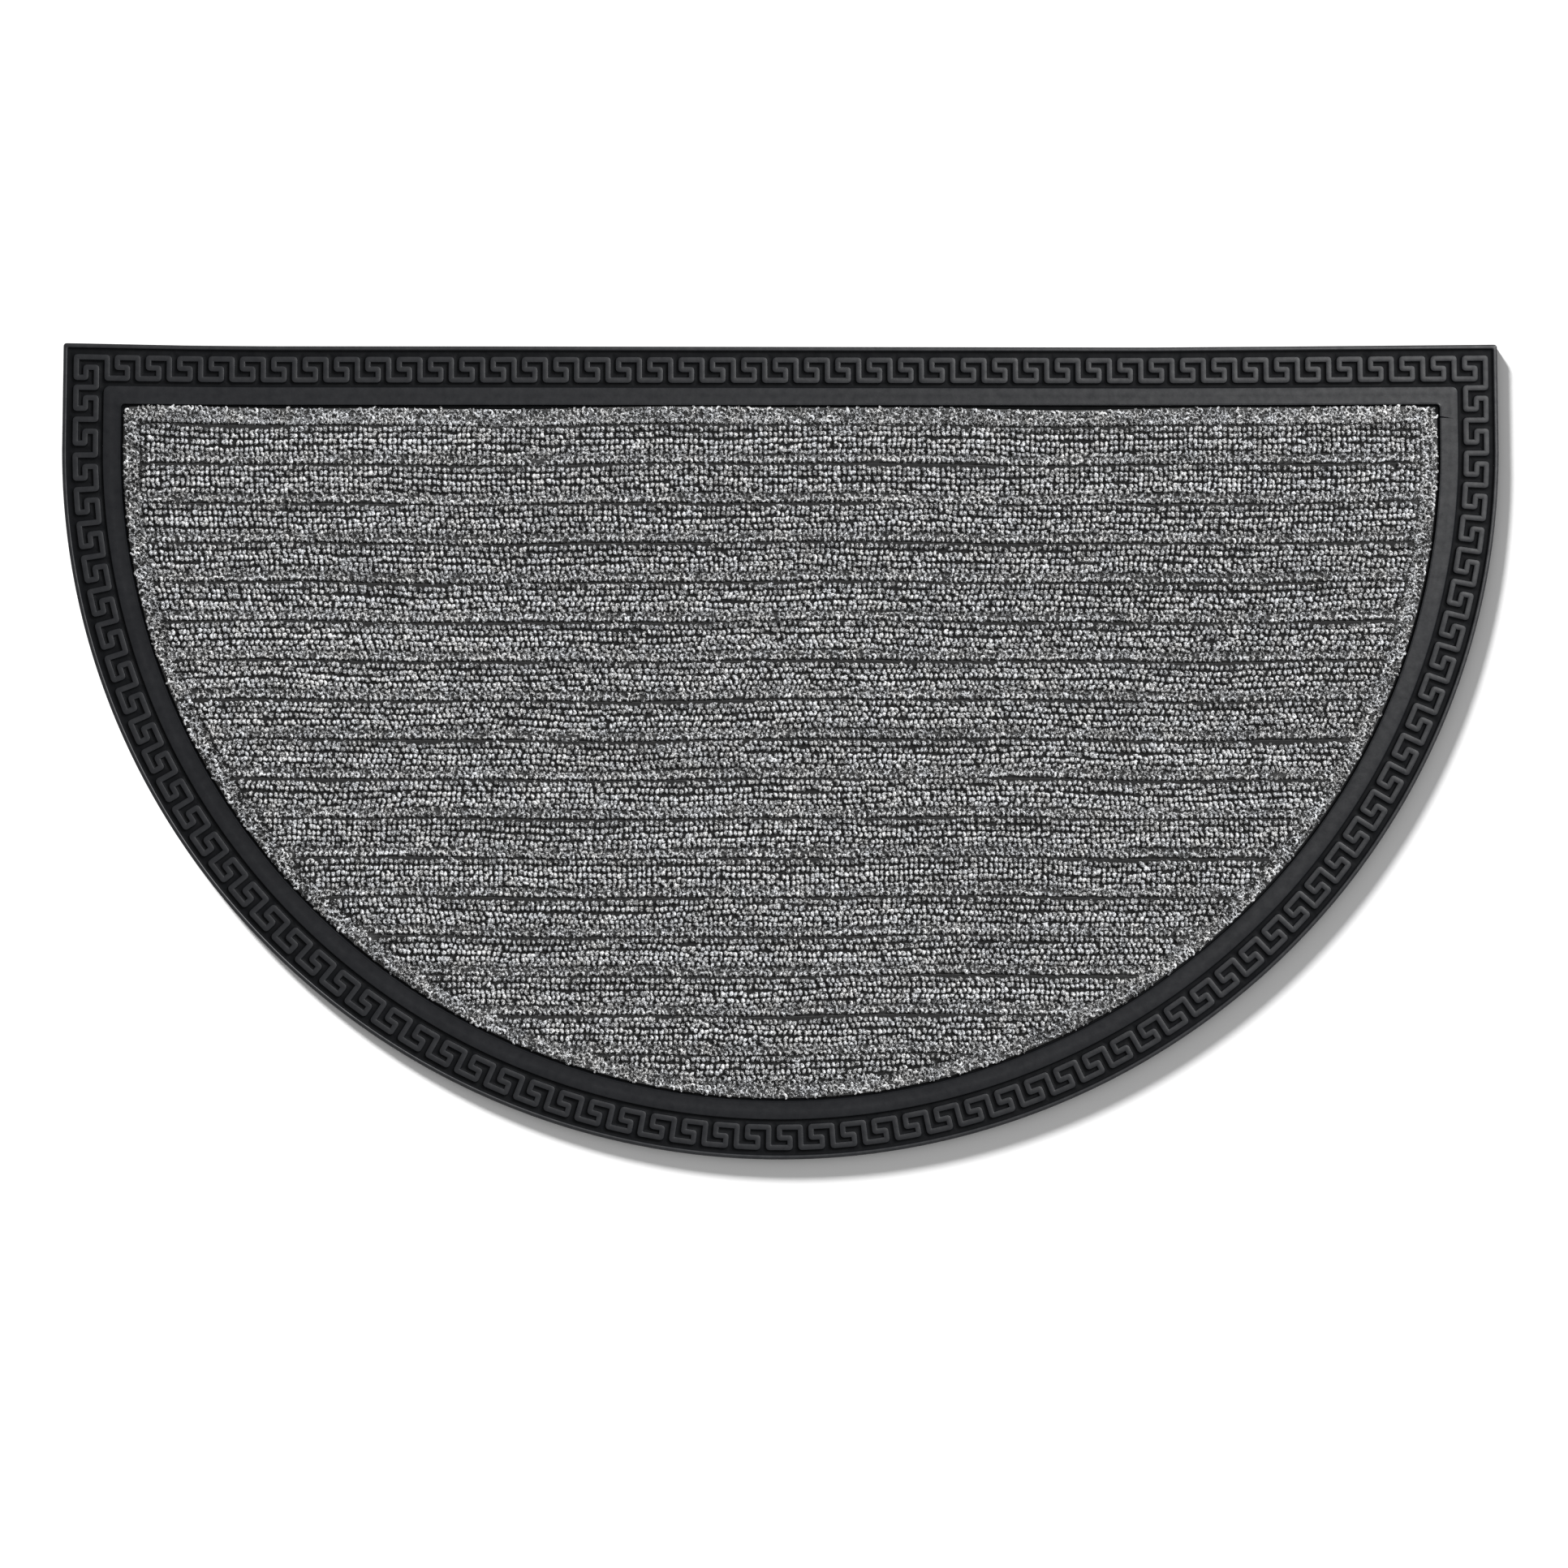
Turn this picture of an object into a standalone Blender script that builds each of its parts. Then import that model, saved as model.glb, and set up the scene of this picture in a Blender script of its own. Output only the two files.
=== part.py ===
"""Half round doormat: a ribbed loop-pile carpet set into a moulded rubber base.

The mat lies flat, its underside at z = 0 and its straight edge towards +Y. The base is one rubber
moulding: a rim, a sunk channel with a raised Greek key, a plain inner band and a shallow recess.
The carpet fills the recess and stands a little above the band, with ribs along X.
"""

from collections import namedtuple

import bmesh
import bpy
import numpy as np

MM = 0.001

# Plan of the mat
HALF_WIDTH = 350.0 * MM
ROUND_DEPTH = 345.0 * MM
SIDE_LENGTH = 51.0 * MM
SIDE_LEAN = 0.8 * MM

# How far the straight edge strays outward along its length, and how deep into the mat that reaches
Stray = namedtuple("Stray", "x_mm outward_mm")
EDGE_STRAY = (
    Stray(-350, 1.9),
    Stray(-320, 1.3),
    Stray(-290, 0.7),
    Stray(-250, 0.35),
    Stray(-140, 0.28),
    Stray(10, 0.0),
    Stray(180, -0.28),
    Stray(250, 0.22),
    Stray(300, 0.66),
    Stray(350, 1.1),
)
STRAY_REACH = 60.0 * MM

# The base is centred on the origin, the arc's lowest point and the highest corner equally far away
TOP_Y = (ROUND_DEPTH + SIDE_LENGTH - EDGE_STRAY[0].outward_mm * MM) / 2
ROUND_Y = TOP_Y - SIDE_LENGTH

# Vertices along each stretch of a ring round the mat
EDGE_STEPS = 18
CORNER_STEPS = 3
SIDE_STEPS = 2
ROUND_STEPS = 72

# Rings of the base, from the foot of the outer edge inwards: depth in from the outer edge, height
# above the floor and radius of the two corners
Ring = namedtuple("Ring", "depth_mm height_mm corner_mm")
RIM_RINGS = (
    Ring(0.0, 0.0, 1.5),
    Ring(0.0, 3.7, 1.5),
    Ring(0.5, 4.3, 1.2),
    Ring(2.0, 4.3, 0.8),
    Ring(2.4, 2.9, 0.6),
)
BAND_RINGS = (
    Ring(19.2, 2.9, 3.4),
    Ring(19.7, 4.4, 3.2),
    Ring(28.2, 4.4, 1.9),
    Ring(28.6, 4.0, 1.6),
    Ring(28.6, 2.0, 1.6),
)

# Greek key: the three lines it runs along, measured as depth, and the section of its ridge
KEY_OUTER_LINE = 5.7 * MM
KEY_MIDDLE_LINE = 10.6 * MM
KEY_INNER_LINE = 15.8 * MM
KEY_FLOOR = RIM_RINGS[-1].height_mm * MM
KEY_TOP = 4.3 * MM
KEY_FOOT_WIDTH = 2.6 * MM
KEY_TOP_WIDTH = 2.0 * MM

# The turns of one key unit: how far along it, and on which line
Turn = namedtuple("Turn", "along depth")
KEY_TURNS = (
    Turn(0, KEY_OUTER_LINE),
    Turn(0, KEY_INNER_LINE),
    Turn(2 / 3, KEY_INNER_LINE),
    Turn(2 / 3, KEY_MIDDLE_LINE),
    Turn(1 / 3, KEY_MIDDLE_LINE),
    Turn(1 / 3, KEY_OUTER_LINE),
)

# Straight edge: the units fill what the first plain run leaves
KEY_EDGE_UNITS = 44
KEY_EDGE_RUN = 16.3 * MM

# Sides and round side: the units' lengths differ a little from stretch to stretch
Stretch = namedtuple("Stretch", "units length_mm")
KEY_ROUND_START = 19.6 * MM
KEY_STRETCHES = (
    Stretch(3, 15.76),
    Stretch(10, 16.47),
    Stretch(48, 16.10),
    Stretch(9, 17.18),
    Stretch(1, 15.44),
)

# Carpet
CARPET_DEPTH_MM = 28.9
CARPET_BOTTOM_MM = 2.3
CARPET_RINGS = (
    Ring(CARPET_DEPTH_MM, CARPET_BOTTOM_MM, 1.6),
    Ring(CARPET_DEPTH_MM, 4.2, 1.6),
    Ring(CARPET_DEPTH_MM + 0.8, 4.9, 1.4),
)
RIB_COUNT = 17
RIB_PITCH = 19.16 * MM
RIB_FIRST = 37.9 * MM
RIB_WIDTH = 13.6 * MM
RIB_LOWEST_WIDTH = 11.0 * MM
RIB_TOP = 7.4 * MM
RIB_SLOPE = 1.1 * MM
RIB_MARGIN = 37.8 * MM
RIB_END_RADIUS = 5.0 * MM
RIB_END_STEPS = (0.0, 0.1, 0.35, 0.65, 0.9, 1.0)


def clear_scene():
    for thing in list(bpy.data.objects):
        bpy.data.objects.remove(thing)


def settle(x, y):
    """Give a point of the ideal plan the small unevenness of the moulding."""
    stray = np.interp(x / MM, [row.x_mm for row in EDGE_STRAY], [row.outward_mm for row in EDGE_STRAY])
    fade = np.clip((y - TOP_Y + STRAY_REACH) / STRAY_REACH, 0.0, 1.0)
    lean = np.clip((y - ROUND_Y) / SIDE_LENGTH, 0.0, 1.0) * SIDE_LEAN / HALF_WIDTH
    return x * (1.0 - lean), y + stray * MM * fade


def round_point(angle, depth):
    """Point of the round side at an angle from its widest place, moved inward by a depth."""
    x = HALF_WIDTH * np.cos(angle)
    y = -ROUND_DEPTH * np.sin(angle)
    normal = np.array((x / HALF_WIDTH**2, y / ROUND_DEPTH**2))
    normal /= np.linalg.norm(normal)
    return x - depth * normal[0], ROUND_Y + y - depth * normal[1]


def ring_points(depth, corner):
    """Closed ring round the mat, clockwise from above, starting at the left of the straight edge."""
    half = HALF_WIDTH - depth
    top = TOP_Y - depth
    right = []
    for angle in np.linspace(np.pi / 2, 0.0, CORNER_STEPS + 1):
        right.append((half - corner + corner * np.cos(angle), top - corner + corner * np.sin(angle)))
    for y in np.linspace(top - corner, ROUND_Y, SIDE_STEPS + 1)[1:]:
        right.append((half, y))
    left = [(-x, y) for x, y in reversed(right)]
    edge = [(x, top) for x in np.linspace(-half + corner, half - corner, EDGE_STEPS + 1)[1:-1]]
    arc = [round_point(angle, depth) for angle in np.linspace(0.0, np.pi, ROUND_STEPS + 1)[1:-1]]
    return [settle(x, y) for x, y in edge + right + arc + left]


def round_line():
    """Lookup from the length along the sides and round side to the place in the ideal plan."""
    angles = np.linspace(0.0, np.pi, 2001)
    x = HALF_WIDTH * np.cos(angles)
    y = ROUND_DEPTH * np.sin(angles)
    arc = np.concatenate(([0.0], np.cumsum(np.hypot(np.diff(x), np.diff(y)))))
    return angles, SIDE_LENGTH + arc


def side_point(length, depth, line):
    """Point at a length from the right corner, along the outer edge, moved inward by a depth."""
    angles, lengths = line
    total = lengths[-1] + SIDE_LENGTH
    if length < SIDE_LENGTH:
        return HALF_WIDTH - depth, TOP_Y - length
    if length > lengths[-1]:
        return depth - HALF_WIDTH, TOP_Y - (total - length)
    return round_point(np.interp(length, lengths, angles), depth)


def key_path():
    """Centre line of the key, one closed path clockwise round the mat."""
    corner = HALF_WIDTH - KEY_OUTER_LINE
    path = [(-corner, TOP_Y - KEY_OUTER_LINE)]
    pitch = (2 * corner - KEY_EDGE_RUN) / KEY_EDGE_UNITS
    for unit in range(KEY_EDGE_UNITS):
        for turn in KEY_TURNS:
            path.append((-corner + KEY_EDGE_RUN + (unit + turn.along) * pitch, TOP_Y - turn.depth))
    path.append((corner, TOP_Y - KEY_OUTER_LINE))

    line = round_line()
    starts = [KEY_ROUND_START]
    for stretch in KEY_STRETCHES:
        starts += [starts[-1] + stretch.length_mm * MM * (step + 1) for step in range(stretch.units)]
    starts.append(line[1][-1] + SIDE_LENGTH - KEY_OUTER_LINE)
    for start, end in zip(starts, starts[1:]):
        for turn in KEY_TURNS:
            path.append(side_point(start + (end - start) * turn.along, turn.depth, line))
    return np.array([settle(x, y) for x, y in path])


def offset_path(path, distance):
    """Move a closed path to its left by a distance, with mitred turns."""
    ahead = np.roll(path, -1, axis=0) - path
    ahead /= np.linalg.norm(ahead, axis=1)[:, None]
    behind = np.roll(ahead, 1, axis=0)
    normal_ahead = np.stack((-ahead[:, 1], ahead[:, 0]), axis=1)
    normal_behind = np.stack((-behind[:, 1], behind[:, 0]), axis=1)
    mitre = normal_ahead + normal_behind
    mitre /= (1.0 + np.sum(normal_ahead * normal_behind, axis=1))[:, None]
    return path + distance * mitre


def add_loop(mesh, points, height):
    return [mesh.verts.new((x, y, height)) for x, y in points]


def add_ring(mesh, ring):
    return add_loop(mesh, ring_points(ring.depth_mm * MM, ring.corner_mm * MM), ring.height_mm * MM)


def join_loops(mesh, first, second):
    """Close the strip between two loops of equal length."""
    for index in range(len(first)):
        after = (index + 1) % len(first)
        mesh.faces.new((first[index], first[after], second[after], second[index]))


def join_all(mesh, loops):
    for first, second in zip(loops, loops[1:]):
        join_loops(mesh, first, second)


def fill_flat(mesh, loops):
    """Fill the flat area inside the first loop and outside the others."""
    edges = []
    for loop in loops:
        for index, vert in enumerate(loop):
            edges.append(mesh.edges.get((vert, loop[index - 1])))
    bmesh.ops.triangle_fill(mesh, use_beauty=True, use_dissolve=False, edges=edges)


def finish_object(name, mesh, material, sharp_degrees):
    bmesh.ops.recalc_face_normals(mesh, faces=mesh.faces)
    data = bpy.data.meshes.new(name)
    mesh.to_mesh(data)
    mesh.free()
    data.materials.append(material)
    data.shade_smooth()
    data.set_sharp_from_angle(angle=np.radians(sharp_degrees))
    thing = bpy.data.objects.new(name, data)
    bpy.context.scene.collection.objects.link(thing)
    return thing


def make_material(name, colour, roughness):
    material = bpy.data.materials.new(name)
    material.use_nodes = True
    shader = material.node_tree.nodes["Principled BSDF"]
    shader.inputs["Base Color"].default_value = (*colour, 1.0)
    shader.inputs["Roughness"].default_value = roughness
    shader.inputs["Metallic"].default_value = 0.0
    return material


def build_base():
    """The rubber moulding with its rim, key channel, inner band and recess."""
    mesh = bmesh.new()
    rim = [add_ring(mesh, ring) for ring in RIM_RINGS]
    band = [add_ring(mesh, ring) for ring in BAND_RINGS]
    join_all(mesh, rim)
    join_all(mesh, band)

    path = key_path()
    key = [
        add_loop(mesh, offset_path(path, KEY_FOOT_WIDTH / 2), KEY_FLOOR),
        add_loop(mesh, offset_path(path, KEY_TOP_WIDTH / 2), KEY_TOP),
        add_loop(mesh, offset_path(path, -KEY_TOP_WIDTH / 2), KEY_TOP),
        add_loop(mesh, offset_path(path, -KEY_FOOT_WIDTH / 2), KEY_FLOOR),
    ]
    join_all(mesh, key)

    fill_flat(mesh, [rim[-1], key[0]])
    fill_flat(mesh, [key[-1], band[0]])
    fill_flat(mesh, [rim[0]])
    fill_flat(mesh, [band[-1]])
    return finish_object("rubber_base", mesh, make_material("rubber", (0.028, 0.031, 0.034), 0.55), 30)


def rib_reach(y):
    """Half length of the ribbed field at a place across it."""
    half = HALF_WIDTH - RIB_MARGIN
    fall = np.clip((ROUND_Y - y) / (ROUND_DEPTH - RIB_MARGIN), 0.0, 1.0)
    return half * np.sqrt(1.0 - fall**2)


def rib_outline(top, width, inset):
    """Outline of one rib: straight along X, its ends rounded and following the carpet's edge."""
    right = []
    for step in RIB_END_STEPS:
        y = top - inset - (width - 2 * inset) * step
        from_edge = min(step, 1.0 - step) * width
        short = max(RIB_END_RADIUS - from_edge, 0.0)
        rounding = RIB_END_RADIUS - np.sqrt(RIB_END_RADIUS**2 - short**2)
        right.append((rib_reach(y) - inset - rounding, y))
    left = [(-x, y) for x, y in reversed(right)]
    return [settle(x, y) for x, y in right + left]


def build_carpet():
    """The carpet: a flat slab with a plain margin and a field of raised ribs."""
    mesh = bmesh.new()
    body = [add_ring(mesh, ring) for ring in CARPET_RINGS]
    join_all(mesh, body)
    floor = CARPET_RINGS[-1].height_mm * MM
    feet = []
    for rib in range(RIB_COUNT):
        top = TOP_Y - RIB_FIRST - rib * RIB_PITCH
        width = RIB_LOWEST_WIDTH if rib == RIB_COUNT - 1 else RIB_WIDTH
        foot = add_loop(mesh, rib_outline(top, width, 0.0), floor)
        crest = add_loop(mesh, rib_outline(top, width, RIB_SLOPE), RIB_TOP)
        join_loops(mesh, foot, crest)
        fill_flat(mesh, [crest])
        feet.append(foot)
    fill_flat(mesh, [body[-1]] + feet)
    fill_flat(mesh, [body[0]])
    return finish_object("carpet_insert", mesh, make_material("carpet", (0.20, 0.20, 0.20), 0.95), 40)


clear_scene()
build_base()
build_carpet()
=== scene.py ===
from collections import namedtuple

import bmesh
import bpy
import numpy as np
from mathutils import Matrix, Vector
from mathutils.geometry import delaunay_2d_cdt


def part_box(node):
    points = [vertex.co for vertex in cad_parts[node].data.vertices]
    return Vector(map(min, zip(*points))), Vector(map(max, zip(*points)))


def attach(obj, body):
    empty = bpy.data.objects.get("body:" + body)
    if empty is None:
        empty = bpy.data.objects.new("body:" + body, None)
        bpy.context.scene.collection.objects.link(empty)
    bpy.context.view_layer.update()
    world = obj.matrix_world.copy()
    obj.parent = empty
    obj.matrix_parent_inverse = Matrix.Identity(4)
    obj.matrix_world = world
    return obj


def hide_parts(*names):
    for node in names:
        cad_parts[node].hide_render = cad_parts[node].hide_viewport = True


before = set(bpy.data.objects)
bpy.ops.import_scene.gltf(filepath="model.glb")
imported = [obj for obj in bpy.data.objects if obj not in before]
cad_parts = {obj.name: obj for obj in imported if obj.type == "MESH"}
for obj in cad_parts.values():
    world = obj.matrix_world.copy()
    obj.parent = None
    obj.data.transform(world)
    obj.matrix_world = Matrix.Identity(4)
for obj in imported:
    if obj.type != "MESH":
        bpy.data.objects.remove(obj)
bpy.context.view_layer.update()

MM = 0.001
BASE_LOW, BASE_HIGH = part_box("rubber_base")
CARPET_LOW, CARPET_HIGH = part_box("carpet_insert")

# Plan of the mat: half an ellipse under short straight sides, the straight edge towards +Y
HALF_WIDTH = (BASE_HIGH.x - BASE_LOW.x) / 2
ROUND_DEPTH = 345.0 * MM
SIDE_LENGTH = 51.0 * MM
SIDE_LEAN = 0.8 * MM
ROUND_Y = BASE_LOW.y + ROUND_DEPTH
TOP_Y = ROUND_Y + SIDE_LENGTH

# How far the straight edge strays outward along its length, and how deep into the mat that reaches
Stray = namedtuple("Stray", "x_mm outward_mm")
EDGE_STRAY = (
    Stray(-350, 1.9),
    Stray(-320, 1.3),
    Stray(-290, 0.7),
    Stray(-250, 0.35),
    Stray(-140, 0.28),
    Stray(10, 0.0),
    Stray(180, -0.28),
    Stray(250, 0.22),
    Stray(300, 0.66),
    Stray(350, 1.1),
)
STRAY_REACH = 60.0 * MM

# How far the channel and the key lie further in than their depth, along the straight edge and up
# the left side, and the share of the mat's half width over which that side's part comes in
Sink = namedtuple("Sink", "depth_mm inward_mm")
SINKS = (Sink(2.5, 0.0), Sink(4.5, 0.6), Sink(16.5, 0.6), Sink(20.0, 0.4), Sink(28.0, 0.0))
LEFT_SINK_FROM = 0.85
LEFT_SINK_FULL = 0.95

# Vertices along each stretch of a ring round the mat
EDGE_STEPS = 110
CORNER_STEPS = 6
SIDE_STEPS = 8
ROUND_STEPS = 300

# Section of the moulding, from the outer edge inwards: depth in from the edge, height above the
# floor and radius of the two corners
Ring = namedtuple("Ring", "depth_mm height_mm corner_mm")
RIM_RINGS = (
    Ring(0.20, 0.0, 1.3),
    Ring(0.02, 0.2, 1.5),
    Ring(0.02, 3.45, 1.5),
    Ring(0.12, 3.8, 1.4),
    Ring(0.38, 4.12, 1.3),
    Ring(0.70, 4.26, 1.2),
    Ring(1.55, 4.30, 0.9),
    Ring(1.85, 4.24, 0.8),
    Ring(2.05, 4.05, 0.7),
    Ring(2.28, 3.15, 0.6),
    Ring(2.42, 2.96, 0.6),
    Ring(2.75, 2.90, 0.5),
)
BAND_RINGS = (
    Ring(18.95, 2.90, 3.6),
    Ring(19.20, 2.98, 3.5),
    Ring(19.32, 3.20, 3.4),
    Ring(19.55, 4.10, 3.3),
    Ring(19.72, 4.30, 3.2),
    Ring(20.05, 4.39, 3.1),
    Ring(23.60, 4.42, 2.6),
    Ring(27.70, 4.36, 2.1),
    Ring(27.95, 4.42, 2.0),
    Ring(28.10, 4.56, 1.9),
    Ring(28.34, 4.58, 1.8),
    Ring(28.52, 4.40, 1.8),
    Ring(28.62, 3.80, 1.7),
    Ring(28.80, 3.20, 1.6),
    Ring(28.80, 2.00, 1.6),
)

# Greek key: the three lines it runs along, measured as depth, and the turns of one unit
KEY_OUTER_LINE = 5.9 * MM
KEY_MIDDLE_LINE = 10.6 * MM
KEY_INNER_LINE = 15.8 * MM
Turn = namedtuple("Turn", "along depth")
KEY_TURNS = (
    Turn(0, KEY_OUTER_LINE),
    Turn(0, KEY_INNER_LINE),
    Turn(2 / 3, KEY_INNER_LINE),
    Turn(2 / 3, KEY_MIDDLE_LINE),
    Turn(1 / 3, KEY_MIDDLE_LINE),
    Turn(1 / 3, KEY_OUTER_LINE),
)
KEY_EDGE_UNITS = 44
KEY_EDGE_RUN = 15.4 * MM
Stretch = namedtuple("Stretch", "units length_mm")
KEY_ROUND_START = 20.3 * MM
KEY_STRETCHES = (
    Stretch(3, 15.86),
    Stretch(8, 16.59),
    Stretch(2, 16.24),
    Stretch(48, 16.07),
    Stretch(9, 17.03),
    Stretch(1, 15.50),
)

# Section of the key's ridge on one side of its centre line, and the rounding of its turns
Ridge = namedtuple("Ridge", "out_mm height_mm")
KEY_RIDGE = (
    Ridge(1.72, 2.90),
    Ridge(1.54, 3.02),
    Ridge(1.43, 3.92),
    Ridge(1.24, 4.22),
    Ridge(0.84, 4.31),
)
KEY_TURN_RADIUS = 0.45 * MM
KEY_INNER_RADIUS = 0.12 * MM
KEY_TURN_STEPS = 3
ROUND_LINE_STEPS = 2000

# How worn each part of the moulding is, the angle from which its edges stay sharp, and how flat
# areas are filled: inside the outer ring only, with this tolerance
RIM_WORN = 2.0
KEY_WORN = 1.0
BAND_WORN = 0.0
SHARP_ANGLE = np.radians(40)
FILL_INSIDE = 1
FILL_TOLERANCE = 1e-9

# Carpet: its depth in from the mat's edge, and the ribbed field inside its pressed margin
CARPET_DEPTH = 29.0 * MM
CARPET_CORNER = 2.8 * MM
RIB_COUNT = 17
RIB_PITCH = 19.16 * MM
RIB_FIRST = 37.9 * MM
RIB_MARGIN = 37.8 * MM
FIELD_FROM_MM = -1.2
FIELD_FULL_MM = 2.5

# Slow waves of the rows, with heights in mm, and of the strength of the creases' painted shade, with
# heights as shares:
# their length, how their phase shifts across the mat or from rib to rib, and where it starts
Wave = namedtuple("Wave", "height length shift start")
DRIFT_WAVES = (Wave(0.60, 0.31, 1 / 0.70, 0.4), Wave(0.35, 0.13, -1 / 0.27, 2.0))
SWAY_WAVES = (Wave(0.60, 0.210, 0.43, 0.0), Wave(0.35, 0.083, 0.71, 0.0))
CREASE_WAVES = (Wave(0.15, 0.110, 0.37, 0.0), Wave(0.15, 0.037, 0.61, 0.0))

# Rows of loops: above the first rib, in each rib's repeat from its upper edge down, and in the last
# rib's. Each has its place, how far its loops are raised and how light they are; the first row below each
# crease is darker, painted shade of the rib's slope next to the crease
Row = namedtuple("Row", "down_mm raised shade")
TOP_ROWS = (Row(-0.9, 0.25, 0.0),)
RIB_ROWS = (
    Row(2.4, 1.0, -0.8),
    Row(5.2, 1.0, -0.2),
    Row(8.2, 1.0, 0.2),
    Row(11.1, 0.95, 0.1),
    Row(13.5, 0.5, 0.1),
    Row(15.8, 0.0, -0.1),
    Row(17.9, 0.25, 0.4),
)
LAST_ROWS = (
    Row(1.9, 1.0, -0.7),
    Row(5.0, 1.0, 0.0),
    Row(8.0, 0.8, 0.0),
    Row(10.6, 0.4, 0.0),
    Row(12.6, 0.1, 0.2),
)

# Pitch of the loops along a row and along the margin's rings, and how far they stray from it
LOOP_PITCH = 2.39 * MM
ROW_OVERHANG = 0.6 * MM
LOOP_STRAY_MM = 0.30
MARGIN_PITCH = 2.12 * MM
MARGIN_INSETS_MM = (2.3, 4.1, 5.9, 7.7)
MARGIN_STRAY_ALONG_MM = 0.4
MARGIN_STRAY_MM = 0.3
LEAST_CORNER = 0.1 * MM

# Random unevenness of the loops: slow runs, each with its size and length, and a loose part
Scatter = namedtuple("Scatter", "runs loose")
WANDER_MM = Scatter(((0.24, 14), (0.18, 3)), 0.28)
ROW_SHADE = Scatter(((0.25, 4), (0.20, 25)), 0.60)
ROW_TURN = Scatter(((20.0, 12),), 16.0)
ROW_LEAN = Scatter(((20.0, 5),), 16.0)
MARGIN_SHADE = Scatter(((0.6, 8),), 1.0)

# How much darker loops are on the margin, where they are pressed, and at the edge of the field, where the
# darkening is painted shade that stands in for sunken loops at the ribs' ends
MARGIN_DARKER = 0.7
PRESSED_DARKER = 0.5
FIELD_EDGE_PAINTED_SHADE = 2.5
FIELD_EDGE_SHARES = (0.05, 0.95)

# Size of a raised and of a pressed loop, and the scatter of both, for the span as a share of it
LoopSize = namedtuple("LoopSize", "raised pressed scatter")
LOOP_SPAN_MM = LoopSize(0.72, 1.15, 0.14)
LOOP_HEIGHT_MM = LoopSize(1.75, 1.35, 0.25)
YARN_WIDTH_MM = LoopSize(0.98, 1.00, 0.12)
YARN_THICKNESS_MM = LoopSize(0.82, 0.60, 0.06)
LOOP_ROOT = 0.15 * MM
FOOT_SETBACK = 0.45
PRESSED_TURN = 1.8
PRESSED_LEAN_DEGREES = 58.0
PRESSED_LEAN_SCATTER = 10.0

# A loop's arch: where its rings lie, the points of each, the yarn's twist, and the painted shade at its
# feet and along its sides
ARCH_ANGLES = np.radians((0.0, 48.0, 90.0, 132.0, 180.0))
RING_POINTS = ((1, 0), (0, 1), (-1, 0), (0, -1))
LOOP_POINTS = len(ARCH_ANGLES) * len(RING_POINTS)
YARN_TWIST = 1.7
STRAND_RANGE = 900.0
FOOT_PAINTED_SHADE = 1.5
SIDE_PAINTED_SHADE = 1.4
LOOPS_A_PIECE = 6200

# Backing: its heights, the creases in it with the painted shade on the loops that cross them, and where its
# rows and columns of vertices lie
BACKING_INSET = 0.9 * MM
BACKING_LOW = 3.7 * MM
BACKING_RISE = 1.5 * MM
RIB_RISE_MM = (0.0, 0.9)
RIB_FALL_MM = (12.4, 14.6)
CREASE_DEPTH = 1.0 * MM
CREASE_WIDTH = 0.9 * MM
CREASE_PAINTED_SHADE = 3.3
CREASE_STRENGTH = 0.95
BACKING_PLACES_MM = (-1.2, -0.7, 0.2, 0.9, 4.5, 8.5, 12.4, 13.5, 14.6, 16.5)
BACKING_SECOND_ROW = 4 * MM
BACKING_TAIL = 8.0 * MM
BACKING_TAIL_ROWS = 12
BACKING_TAIL_SHARE = 0.96
BACKING_COLUMNS = 37

# A short cut across the inner band, near the right corner: its place, fall and width at the carpet. The cut
# is not in the mesh; only its shade is painted into the rubber
CUT_START = Vector((322.0, 162.8)) * MM
CUT_LENGTH = 6.0 * MM
CUT_FALL = 0.7 * MM
CUT_WIDTH = 0.8 * MM
CUT_OVERLAP = 1 * MM

# Rubber: its darkest and its lightest colour, the heights between which it gets lighter, so that its colour
# paints shade down in the channel, and how much height, wear, patches and grain add to its colour,
# roughness and shine
RUBBER_DARK = (0.0022, 0.0025, 0.0032)
RUBBER_LIGHT = (0.0091, 0.0097, 0.0117)
RUBBER_DARK_LEVEL = 0.20
RUBBER_LOW = 2.95 * MM
RUBBER_HIGH = 4.1 * MM
SHADE_PAINTED_BY_HEIGHT = 0.58
LEVEL_OF_WEAR = 0.22
LEVEL_OF_PATCHES = 0.38
LEVEL_OF_GRAIN = 0.12
ROUGH_BASE = 0.54
ROUGH_OF_HEIGHT = -0.18
ROUGH_OF_PATCHES = 0.12
SHINE_BASE = 0.09
SHINE_OF_HEIGHT = 0.17
SHINE_OF_WEAR = 0.09
MOTTLE_BASE = 0.45
MOTTLE_OF_SMUDGES = 1.1
CUT_PAINTED_SHADE = 0.95

# Scales of the noise in each material
PATCH_SCALE = 28.0
GRAIN_SCALE = 900.0
SMUDGE_SCALE = 240.0
WEAVE_SCALE = 1400.0
TINT_SCALE = 110.0
FLOOR_SCALE = 2.0
FILAMENT_STRETCH = (1.7, 1.7, 2.6)

# Yarn: how a loop's shade and its filaments make the level between dark and light
YARN_DARK = 0.007
YARN_MIDDLE = 0.18
YARN_LIGHT = 0.92
YARN_LEVEL = -1.09
LEVEL_OF_SHADE = 0.14
LEVEL_OF_FILAMENTS = 3.6
COOL_TINT = (0.95, 0.97, 1.0)
WARM_TINT = (1.0, 0.995, 0.985)

# Backing and floor: their darkest and lightest greys
BACKING_DARK = 0.003
BACKING_LIGHT = 0.07
FLOOR_DARK = 0.84
FLOOR_LIGHT = 0.86

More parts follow.
